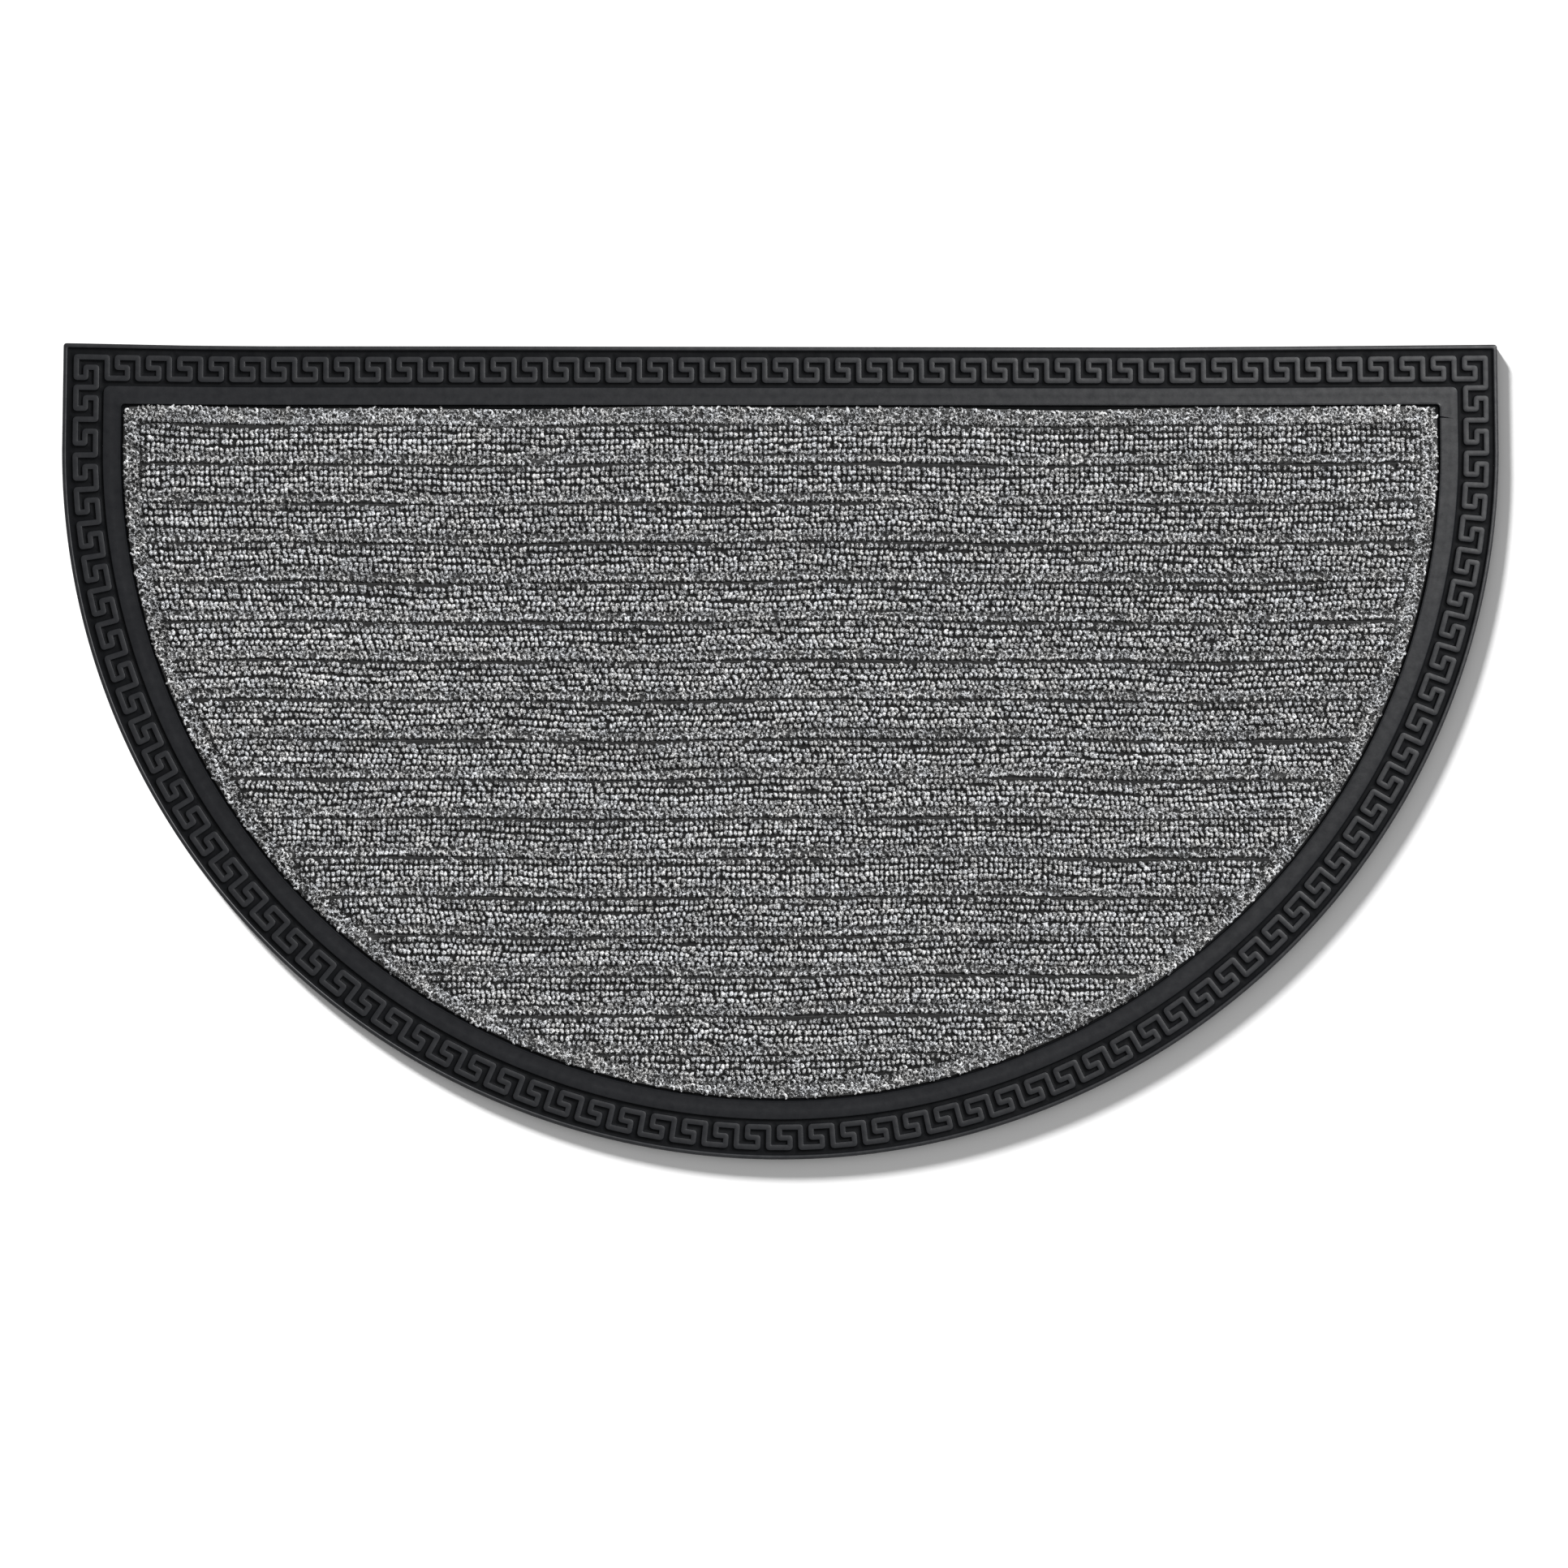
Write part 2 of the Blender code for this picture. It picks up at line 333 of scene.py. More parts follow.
# Floor, and the lights: the first two shine on the mat alone, the third on the floor alone
FLOOR_HALF = 20.0
FLOOR_DROP = 0.2 * MM
SURROUND_STRENGTH = 0.42
KEY_LIGHT_ENERGY = 3.0
KEY_LIGHT_PLACE = (1.1, 1.1, 1.2)
KEY_LIGHT_ANGLE = np.radians(12.0)
SOFTBOX_ENERGY = 27.0
SOFTBOX_PLACE = (0.85, 0.65, 2.2)
SOFTBOX_SIZE = 0.8
FLOOR_LIGHT_ENERGY = 13.0
FLOOR_LIGHT_PLACE = (-0.55, 0.79, 0.285)
FLOOR_LIGHT_ANGLE = np.radians(10.0)

# Photo and camera: the picture's side spans as much of the floor as it does in the photo
PHOTO_SIDE_PX = 1932
PHOTO_MAT_WIDTH_PX = 1768
PHOTO_MAT_CENTRE_PX = (961.4, 925.7)
CAMERA_HEIGHT = 2.6
SENSOR = 36.0

SEED = 7
rng = np.random.default_rng(SEED)


def sunk(depth):
    """How far points at a depth lie further in than it says."""
    depths = [row.depth_mm for row in SINKS]
    return np.interp(depth / MM, depths, [row.inward_mm for row in SINKS]) * MM


def settle(x, y):
    """Give points of the ideal plan the small unevenness of the moulding."""
    places = [row.x_mm for row in EDGE_STRAY]
    stray = np.interp(x / MM, places, [row.outward_mm for row in EDGE_STRAY])
    fade = np.clip((y - TOP_Y + STRAY_REACH) / STRAY_REACH, 0.0, 1.0)
    lean = np.clip((y - ROUND_Y) / SIDE_LENGTH, 0.0, 1.0) * SIDE_LEAN / HALF_WIDTH
    fall = np.minimum(y - ROUND_Y, 0.0) / ROUND_DEPTH
    depth = HALF_WIDTH * (1.0 - np.hypot(x / HALF_WIDTH, fall))
    left = np.clip((-x / HALF_WIDTH - LEFT_SINK_FROM) / (LEFT_SINK_FULL - LEFT_SINK_FROM), 0.0, 1.0)
    across = x * (1.0 - lean) + sunk(depth) * left
    return np.stack((across, y + stray * MM * fade - sunk(TOP_Y - y)), axis=-1)


def round_points(angles, depth):
    """Points of the round side at angles from its widest place, moved inward by a depth."""
    x = HALF_WIDTH * np.cos(angles)
    y = -ROUND_DEPTH * np.sin(angles)
    normal = np.stack((x / HALF_WIDTH**2, y / ROUND_DEPTH**2), axis=-1)
    normal /= np.linalg.norm(normal, axis=-1, keepdims=True)
    return np.stack((x, ROUND_Y + y), axis=-1) - depth * normal


def ring_points(depth, corner):
    """Closed ring round the mat, clockwise from above, starting at the left of the straight edge."""
    half = HALF_WIDTH - depth
    top = TOP_Y - depth
    turn = np.linspace(np.pi / 2, 0.0, CORNER_STEPS + 1)
    bend = (half - corner + corner * np.cos(turn), top - corner + corner * np.sin(turn))
    down = np.linspace(top - corner, ROUND_Y, SIDE_STEPS + 1)[1:]
    side = np.stack((np.full(SIDE_STEPS, half), down), axis=1)
    right = np.concatenate((np.stack(bend, axis=1), side))
    left = right[::-1] * (-1, 1)
    along = np.linspace(-half + corner, half - corner, EDGE_STEPS + 1)[1:-1]
    edge = np.stack((along, np.full(len(along), top)), axis=1)
    arc = round_points(np.linspace(0.0, np.pi, ROUND_STEPS + 1)[1:-1], depth)
    plan = np.concatenate((edge, right, arc, left))
    return settle(plan[:, 0], plan[:, 1])


def round_line():
    """Lookup from the length along the sides and round side to the angle of the round side."""
    angles = np.linspace(0.0, np.pi, ROUND_LINE_STEPS + 1)
    x = HALF_WIDTH * np.cos(angles)
    y = ROUND_DEPTH * np.sin(angles)
    arc = np.concatenate(([0.0], np.cumsum(np.hypot(np.diff(x), np.diff(y)))))
    return angles, SIDE_LENGTH + arc


def side_point(length, depth, line):
    """Point at a length from the right corner, along the outer edge, moved inward by a depth."""
    angles, lengths = line
    total = lengths[-1] + SIDE_LENGTH
    if length < SIDE_LENGTH:
        return np.array((HALF_WIDTH - depth, TOP_Y - length))
    if length > lengths[-1]:
        return np.array((depth - HALF_WIDTH, TOP_Y - (total - length)))
    return round_points(np.interp(length, lengths, angles), depth)


def key_path():
    """Centre line of the key, one closed path clockwise round the mat."""
    corner = HALF_WIDTH - KEY_OUTER_LINE
    path = [(-corner, TOP_Y - KEY_OUTER_LINE)]
    pitch = (2 * corner - KEY_EDGE_RUN) / KEY_EDGE_UNITS
    for unit in range(KEY_EDGE_UNITS):
        for turn in KEY_TURNS:
            path.append((-corner + KEY_EDGE_RUN + (unit + turn.along) * pitch, TOP_Y - turn.depth))
    path.append((corner, TOP_Y - KEY_OUTER_LINE))

    line = round_line()
    starts = [KEY_ROUND_START]
    for stretch in KEY_STRETCHES:
        starts += [starts[-1] + stretch.length_mm * MM * (step + 1) for step in range(stretch.units)]
    starts.append(line[1][-1] + SIDE_LENGTH - KEY_OUTER_LINE)
    for start, end in zip(starts, starts[1:]):
        for turn in KEY_TURNS:
            path.append(side_point(start + (end - start) * turn.along, turn.depth, line))
    path = np.array(path)
    return settle(path[:, 0], path[:, 1])


def offset_rounded(path, out):
    """Move a closed path to its left, with rounded turns: a few points for each turn."""
    ahead = np.roll(path, -1, axis=0) - path
    ahead /= np.linalg.norm(ahead, axis=1)[:, None]
    behind = np.roll(ahead, 1, axis=0)
    normal_ahead = np.stack((-ahead[:, 1], ahead[:, 0]), axis=1)
    normal_behind = np.stack((-behind[:, 1], behind[:, 0]), axis=1)
    spread = 1.0 + np.sum(normal_ahead * normal_behind, axis=1)
    mitre = (normal_ahead + normal_behind) / spread[:, None]
    side = np.sign(behind[:, 0] * ahead[:, 1] - behind[:, 1] * ahead[:, 0])
    radius = np.maximum(KEY_TURN_RADIUS - side * out, KEY_INNER_RADIUS)
    centre = path + (out + side * radius)[:, None] * mitre
    points = []
    for step in np.linspace(0.0, 1.0, KEY_TURN_STEPS + 1):
        normal = normal_behind * np.cos(step * np.pi / 2) + normal_ahead * np.sin(step * np.pi / 2)
        normal /= np.linalg.norm(normal, axis=1)[:, None]
        points.append(centre - (side * radius)[:, None] * normal)
    return np.stack(points, axis=1).reshape(-1, 2)


def add_loop(mesh, points, height, worn):
    """A ring of vertices at one height, marked with how worn the rubber is there."""
    mark = mesh.verts.layers.float["worn"]
    loop = [mesh.verts.new((x, y, height)) for x, y in points]
    for vert in loop:
        vert[mark] = worn
    return loop


def add_ring(mesh, ring, worn):
    """One ring of the moulding's section, all round the mat."""
    points = ring_points(ring.depth_mm * MM, ring.corner_mm * MM)
    return add_loop(mesh, points, ring.height_mm * MM, worn)


def join_all(mesh, loops):
    """Close the strips between loops of equal length."""
    for first, second in zip(loops, loops[1:]):
        for index in range(len(first)):
            before = index - 1
            mesh.faces.new((first[before], first[index], second[index], second[before]))


def inside_ring(points, ring):
    """Which points lie inside a closed ring, by counting the crossings to their right."""
    x, y = points[:, :1], points[:, 1:]
    x0, y0 = ring.T
    x1, y1 = np.roll(ring, -1, axis=0).T
    spans = (y0 > y) != (y1 > y)
    rise = np.where(y1 == y0, 1.0, y1 - y0)
    crossing = x0 + (y - y0) / rise * (x1 - x0)
    return (spans & (crossing > x)).sum(axis=1) % 2 == 1


def fill_flat(mesh, outer, hole=()):
    """Fill the flat area inside a loop, and outside a second one where it is given."""
    verts = list(outer) + list(hole)
    plan = [vert.co.xy for vert in verts]
    ends = [(index, (index + 1) % len(outer)) for index in range(len(outer))]
    first = len(outer)
    ends += [(first + index, first + (index + 1) % len(hole)) for index in range(len(hole))]
    triangles = np.array(delaunay_2d_cdt(plan, ends, [], FILL_INSIDE, FILL_TOLERANCE)[2])
    if hole:
        places = np.array(plan)
        middles = places[triangles].mean(axis=1)
        triangles = triangles[~inside_ring(middles, places[first:])]
    for triangle in triangles:
        mesh.faces.new([verts[index] for index in triangle])


def link_object(name, data, material):
    """A new piece of the mat, made of a mesh in one material."""
    data.materials.append(material)
    piece = bpy.data.objects.new(name, data)
    bpy.context.scene.collection.objects.link(piece)
    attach(piece, "root")
    return piece


def build_base(material):
    """The rubber moulding, with its edges and the turns of the key rounded."""
    mesh = bmesh.new()
    mesh.verts.layers.float.new("worn")
    rim = [add_ring(mesh, ring, RIM_WORN) for ring in RIM_RINGS]
    band = [add_ring(mesh, ring, BAND_WORN) for ring in BAND_RINGS]
    path = key_path()
    section = [(row.out_mm * MM, row.height_mm * MM) for row in KEY_RIDGE]
    section += [(-out, height) for out, height in reversed(section)]
    key = [add_loop(mesh, offset_rounded(path, out), height, KEY_WORN) for out, height in section]
    join_all(mesh, rim)
    join_all(mesh, band)
    join_all(mesh, key)
    fill_flat(mesh, rim[-1], key[0])
    fill_flat(mesh, key[-1], band[0])
    fill_flat(mesh, rim[0])
    fill_flat(mesh, band[-1])
    bmesh.ops.recalc_face_normals(mesh, faces=mesh.faces)
    data = bpy.data.meshes.new("rubber_tray")
    mesh.to_mesh(data)
    mesh.free()
    data.shade_smooth()
    data.set_sharp_from_angle(angle=SHARP_ANGLE)
    tray = link_object("rubber_tray", data, material)
    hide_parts("rubber_base")
    return tray


def reach(y, depth):
    """Half length of the carpet, or of the field inside it, at a place across the mat."""
    fall = np.clip((ROUND_Y - y) / (ROUND_DEPTH - depth), 0.0, 1.0)
    bend = CARPET_CORNER - np.clip(TOP_Y - depth - y, 0.0, CARPET_CORNER)
    trim = CARPET_CORNER - np.sqrt(CARPET_CORNER**2 - bend**2)
    return (HALF_WIDTH - depth) * np.sqrt(1.0 - fall**2) - trim


def step_up(value, low, high):
    """0 below a low value, 1 above a high one and smooth between them."""
    share = np.clip((value - low) / (high - low), 0.0, 1.0)
    return share * share * (3.0 - 2.0 * share)


def ripple(waves, x, across):
    """The sum of slow waves along the mat, whose phase shifts from place to place across it."""
    total = 0.0
    for wave in waves:
        turns = x / wave.length + wave.shift * across
        total = total + wave.height * np.sin(2 * np.pi * turns + wave.start)
    return total


def drift(x, y):
    """Slow wander of the rows and ribs across the mat."""
    return ripple(DRIFT_WAVES, x, y) * MM


def in_field(x, y):
    """1 inside the ribbed field, 0 on the pressed margin at the two ends of a row."""
    return step_up((reach(y, RIB_MARGIN) - np.abs(x)) / MM, FIELD_FROM_MM, FIELD_FULL_MM)


def crease_at(y):
    """1 in the middle of a crease, along the upper edge of a rib, and 0 outside it."""
    down = (TOP_Y - RIB_FIRST - y) / RIB_PITCH
    off = np.abs(down - np.round(down)) * RIB_PITCH
    crease = np.clip(1.0 - off / CREASE_WIDTH, 0.0, 1.0)
    return np.where((down < -0.5) | (down > RIB_COUNT - 0.5), 0.0, crease)


def crease_strength(x, y):
    """How strongly the painted shade of a crease shows along its length, from rib to rib."""
    rib = np.round((TOP_Y - RIB_FIRST - y) / RIB_PITCH)
    return CREASE_STRENGTH + ripple(CREASE_WAVES, x, rib)


def backing_height(x, y):
    """Height of the carpet's backing: raised under the ribs, creased along their upper edges."""
    down = (TOP_Y - RIB_FIRST - y) / RIB_PITCH
    place = (down - np.floor(down)) * RIB_PITCH / MM
    rib = step_up(place, *RIB_RISE_MM) * (1.0 - step_up(place, *RIB_FALL_MM))
    rib = np.where((down < 0.0) | (down > RIB_COUNT), 0.0, rib)
    return BACKING_LOW + in_field(x, y) * (BACKING_RISE * rib - CREASE_DEPTH * crease_at(y))


def mesh_from(name, points, faces):
    """A smooth mesh of points and of faces that all have as many corners."""
    data = bpy.data.meshes.new(name)
    data.vertices.add(len(points))
    data.vertices.foreach_set("co", np.ascontiguousarray(points, np.float32).ravel())
    data.loops.add(faces.size)
    data.loops.foreach_set("vertex_index", faces.astype(np.int32).ravel())
    data.polygons.add(len(faces))
    data.polygons.foreach_set("loop_start", np.arange(0, faces.size, faces.shape[1], dtype=np.int32))
    data.update(calc_edges=True)
    data.shade_smooth()
    return data


def build_backing(material):
    """The carpet's woven backing: one sheet that follows the ribs, seen between the loops."""
    depth = CARPET_DEPTH + BACKING_INSET
    top = TOP_Y - depth
    bottom = ROUND_Y - ROUND_DEPTH + depth
    repeats = [TOP_Y - RIB_FIRST - rib * RIB_PITCH for rib in range(RIB_COUNT)]
    rows = [top, top - BACKING_SECOND_ROW]
    rows += [y - place * MM for y in repeats for place in BACKING_PLACES_MM]
    rows = np.array([y for y in rows if y > bottom + BACKING_TAIL])
    shares = np.linspace(0.0, BACKING_TAIL_SHARE, BACKING_TAIL_ROWS)
    tail = bottom + BACKING_TAIL * (1.0 - np.sin(shares * np.pi / 2))
    rows = np.concatenate((rows, tail))
    columns = np.linspace(-1.0, 1.0, BACKING_COLUMNS)
    y = np.repeat(rows[:, None], len(columns), axis=1)
    x = columns[None, :] * reach(y, depth)
    plan = settle(x, y + drift(x, y) * in_field(x, y))
    upper = backing_height(x, y)
    lower = np.full_like(upper, CARPET_LOW.z)
    points = np.concatenate([np.dstack((plan, level)).reshape(-1, 3) for level in (upper, lower)])
    count_y, count_x = y.shape
    index = np.arange(count_y * count_x).reshape(count_y, count_x)
    corners = (index[:-1, :-1], index[1:, :-1], index[1:, 1:], index[:-1, 1:])
    quads = np.stack(corners, axis=-1).reshape(-1, 4)
    under = quads[:, ::-1] + index.size
    rim = np.concatenate((index[0, :-1], index[:-1, -1], index[-1, :0:-1], index[:0:-1, 0]))
    after = np.roll(rim, -1)
    wall = np.stack((rim, after, after + index.size, rim + index.size), axis=-1)
    data = mesh_from("carpet_backing", points, np.concatenate((quads, under, wall)))
    data.validate()
    backing = link_object("carpet_backing", data, material)
    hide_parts("carpet_insert")
    return backing


def pile_rows():
    """Every row of loops: how far it lies below the straight edge, its rise and its shade."""
    rows = [row._replace(down_mm=RIB_FIRST / MM + row.down_mm) for row in TOP_ROWS]
    for rib in range(RIB_COUNT):
        repeat = LAST_ROWS if rib == RIB_COUNT - 1 else RIB_ROWS
        start = (RIB_FIRST + rib * RIB_PITCH) / MM
        rows += [row._replace(down_mm=start + row.down_mm) for row in repeat]
    return rows


def smooth_random(count, length):
    """A run of random numbers about 0 that drift slowly, over about the given length."""
    keep = np.exp(-1.0 / length)
    noise = rng.normal(size=count) * np.sqrt(1.0 - keep**2)
    run = np.empty(count)
    value = rng.normal()
    for index in range(count):
        value = keep * value + noise[index]
        run[index] = value
    return run


def scattered(scatter, count):
    """Random numbers about 0 for the loops of a row: slow runs and a loose part."""
    runs = sum(size * smooth_random(count, length) for size, length in scatter.runs)
    return runs + scatter.loose * rng.normal(size=count)


def sway(x, y):
    """How the rows in the middle of a rib wander between its two creases."""
    down = (TOP_Y - RIB_FIRST - y) / RIB_PITCH
    rib = np.floor(down)
    return ripple(SWAY_WAVES, x, rib) * np.sin(np.pi * (down - rib)) * MM


def row_loops(row):
    """Place, rise, shade, turn and lean of each loop in a row."""
    y0 = TOP_Y - row.down_mm * MM
    half = float(reach(np.array(y0), RIB_MARGIN)) + ROW_OVERHANG
    count = max(int(2 * half / LOOP_PITCH), 1)
    x = np.linspace(-half, half, count) + rng.normal(size=count) * LOOP_STRAY_MM * MM
    y = y0 + sway(x, y0) + scattered(WANDER_MM, count) * MM
    field = in_field(x, y)
    shade = scattered(ROW_SHADE, count)
    shade += row.shade * field - PRESSED_DARKER * (1.0 - row.raised * field)
    low, high = FIELD_EDGE_SHARES
    # Painted shade at the ribs' ends, where loops would sink into dark holes
    darker = rng.uniform(0.0, FIELD_EDGE_PAINTED_SHADE, count)
    shade -= np.where((field > low) & (field < high), darker, 0.0)
    turn = np.radians(scattered(ROW_TURN, count))
    lean = np.radians(scattered(ROW_LEAN, count))
    return np.stack((x, y, row.raised * field, shade, turn, lean), axis=1)


def margin_loops(inset):
    """A line of pressed loops that follows the carpet's edge, at a distance inside it."""
    ring = ring_points(CARPET_DEPTH + inset, max(CARPET_CORNER - inset, LEAST_CORNER))
    step = np.linalg.norm(np.roll(ring, -1, axis=0) - ring, axis=1)
    along = np.concatenate(([0.0], np.cumsum(step)))
    count = int(along[-1] / MARGIN_PITCH)
    stray = rng.normal(size=count) * MARGIN_STRAY_ALONG_MM * MM
    places = (np.arange(count) * MARGIN_PITCH + stray) % along[-1]
    closed = np.concatenate((ring, ring[:1]))
    x = np.interp(places, along, closed[:, 0]) + rng.normal(size=count) * MARGIN_STRAY_MM * MM
    y = np.interp(places, along, closed[:, 1]) + rng.normal(size=count) * MARGIN_STRAY_MM * MM
    shade = scattered(MARGIN_SHADE, count) - MARGIN_DARKER
    turn = rng.uniform(-np.pi, np.pi, count)
    zero = np.zeros(count)
    return np.stack((x, y, zero, shade, turn, zero), axis=1)


def size_between(size, raised):
    """A size between that of a pressed and that of a raised loop."""
    return size.raised * raised + size.pressed * (1.0 - raised)


def loop_size(size, raised):
    """One size of each loop, with its scatter."""
    return (size_between(size, raised) + size.scatter * rng.normal(size=len(raised))) * MM


def loop_arches(loops):
    """Rings of four points for every loop, an arch of twisted yarn, and how it is coloured there, with
    painted shade at its feet, on its sides and where it crosses a crease.
    """
    count = len(loops)
    x, y, raised, turn, lean = loops[:, (0, 1, 2, 4, 5)].T
    flat = 1.0 - raised
    share = 1.0 + LOOP_SPAN_MM.scatter * rng.normal(size=count)
    span = size_between(LOOP_SPAN_MM, raised) * share * MM
    height = loop_size(LOOP_HEIGHT_MM, raised)
    wide = loop_size(YARN_WIDTH_MM, raised)
    thick = loop_size(YARN_THICKNESS_MM, raised)
    turn = turn * (raised + PRESSED_TURN * flat)
    laid = np.radians(PRESSED_LEAN_DEGREES + PRESSED_LEAN_SCATTER * rng.normal(size=count))
    lean = lean * raised + flat * laid * rng.choice((-1.0, 1.0), count)
    # u runs from one foot of the loop to the other, w up its middle and b across the yarn
    u = np.stack((-np.sin(turn), np.cos(turn), np.zeros(count)), axis=1)
    side = np.stack((np.cos(turn), np.sin(turn), np.zeros(count)), axis=1)
    w = side * np.sin(lean)[:, None] + np.array((0.0, 0.0, 1.0)) * np.cos(lean)[:, None]
    b = np.cross(u, w)
    plan = settle(x, y + drift(x, y) * in_field(x, y))
    ground = backing_height(x, y) - LOOP_ROOT
    foot = np.column_stack((plan, ground)) - side * (np.sin(lean) * height * FOOT_SETBACK)[:, None]
    strand = rng.uniform(0.0, STRAND_RANGE, count)
    # Painted shade on the yarn where it crosses a crease
    pressed = CREASE_PAINTED_SHADE * crease_strength(x, y) * in_field(x, y)
    rings = []
    yarn = []
    tone = []
    for angle in ARCH_ANGLES:
        centre = foot + u * (span * np.cos(angle))[:, None] + w * (height * np.sin(angle))[:, None]
        outward = u * np.cos(angle) + w * np.sin(angle)
        crease = crease_at(y + u[:, 1] * span * np.cos(angle))
        for across, out in RING_POINTS:
            rings.append(centre + b * (across * wide)[:, None] + outward * (out * thick)[:, None])
            twist = YARN_TWIST * angle + np.arctan2(out, across)
            turned = np.tile((np.cos(twist), np.sin(twist)), (count, 1))
            yarn.append(np.column_stack((turned, strand + angle)))
            # Painted shade: darker towards the feet of the arch and on the sides of the yarn, and darker
            # still in a crease
            shade = loops[:, 3] - FOOT_PAINTED_SHADE * (1.0 - np.sin(angle)) - SIDE_PAINTED_SHADE * abs(across)
            tone.append(shade - pressed * crease)
    return np.stack(rings, axis=1), np.stack(yarn, axis=1), np.stack(tone, axis=1)


def arch_faces():
    """The faces of one loop, as numbers of its points."""
    sides = len(RING_POINTS)
    faces = []
    for ring in range(len(ARCH_ANGLES) - 1):
        here = ring * sides
        ahead = here + sides
        for corner in range(sides):
            after = (corner + 1) % sides
            faces.append((here + corner, here + after, ahead + after, ahead + corner))
    return np.array(faces)


def build_pile(material):
    """The loop pile, joined into a few meshes, each a run of whole rows."""
    batches = [[margin_loops(inset * MM) for inset in MARGIN_INSETS_MM]]
    for row in pile_rows():
        loops = row_loops(row)
        if sum(len(rows) for rows in batches[-1]) + len(loops) > LOOPS_A_PIECE:
            batches.append([])
        batches[-1].append(loops)
    pieces = []
    for number, batch in enumerate(batches):
        loops = np.concatenate(batch)
        points, yarn, tone = loop_arches(loops)
        faces = (np.arange(len(loops)) * LOOP_POINTS)[:, None, None] + arch_faces()[None]
        data = mesh_from(f"loop_pile_{number + 1}", points.reshape(-1, 3), faces.reshape(-1, 4))
        shade = data.attributes.new("shade", "FLOAT", "POINT")
        shade.data.foreach_set("value", tone.astype(np.float32).ravel())
        place = data.attributes.new("yarn", "FLOAT_VECTOR", "POINT")
        place.data.foreach_set("vector", yarn.astype(np.float32).ravel())
        piece = link_object(f"loop_pile_{number + 1}", data, material)
        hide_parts("carpet_insert")
        pieces.append(piece)
    return pieces


def new_material(name):
    """A new material with its node tree and its shader."""
    material = bpy.data.materials.new(name)
    material.use_nodes = True
    tree = material.node_tree
    return material, tree, tree.nodes["Principled BSDF"]


def add_node(tree, kind, **values):
    """A node with some of its inputs set by name, given with underscores for spaces."""
    node = tree.nodes.new(kind)
    for name, value in values.items():
        node.inputs[name.replace("_", " ")].default_value = value
    return node


def add_noise(tree, coords, scale, detail=3.0, roughness=0.5):
    """Noise over the given coordinates."""
    noise = add_node(tree, "ShaderNodeTexNoise", Scale=scale, Detail=detail, Roughness=roughness)
    tree.links.new(coords, noise.inputs["Vector"])
    return noise.outputs["Fac"]


def add_ramp(tree, factor, stops):
    """Colours between stops, each with its place and its colour."""
    ramp = tree.nodes.new("ShaderNodeValToRGB")
    elements = ramp.color_ramp.elements
    while len(elements) < len(stops):
        elements.new(0.5)
    for element, (place, colour) in zip(elements, stops):
        element.position = place
        element.color = (*colour, 1.0)
    tree.links.new(factor, ramp.inputs["Fac"])
    return ramp.outputs["Color"]


def add_math(tree, operation, first, second=None, third=None):
    """One sum on numbers and on the outputs of other nodes."""
    node = tree.nodes.new("ShaderNodeMath")
    node.operation = operation
    for socket, value in zip(node.inputs, (first, second, third)):
        if value is None:
            continue
        if isinstance(value, (int, float)):
            socket.default_value = value
        else:
            tree.links.new(value, socket)
    return node.outputs["Value"]


def add_attribute(tree, name):
    """An attribute of the mesh."""
    node = tree.nodes.new("ShaderNodeAttribute")
    node.attribute_name = name
    return node


def grey(level):
    """A colour that is the same in all three parts."""
    return (level, level, level)


def cut_mask(tree, x, y):
    """1 in the cut across the band, which narrows to nothing away from the carpet."""
    start, end = CUT_START.x, CUT_START.x + CUT_LENGTH
    along = add_node(tree, "ShaderNodeMapRange", From_Min=start, From_Max=end)
    tree.links.new(x, along.inputs["Value"])
    line = add_math(tree, "MULTIPLY_ADD", along.outputs["Result"], -CUT_FALL, CUT_START.y)
    off = add_math(tree, "ABSOLUTE", add_math(tree, "SUBTRACT", y, line))
    half = add_math(tree, "MULTIPLY_ADD", along.outputs["Result"], -CUT_WIDTH / 2, CUT_WIDTH / 2)
    inside = add_math(tree, "GREATER_THAN", half, off)
    return add_math(tree, "MULTIPLY", inside, add_math(tree, "GREATER_THAN", x, start - CUT_OVERLAP))


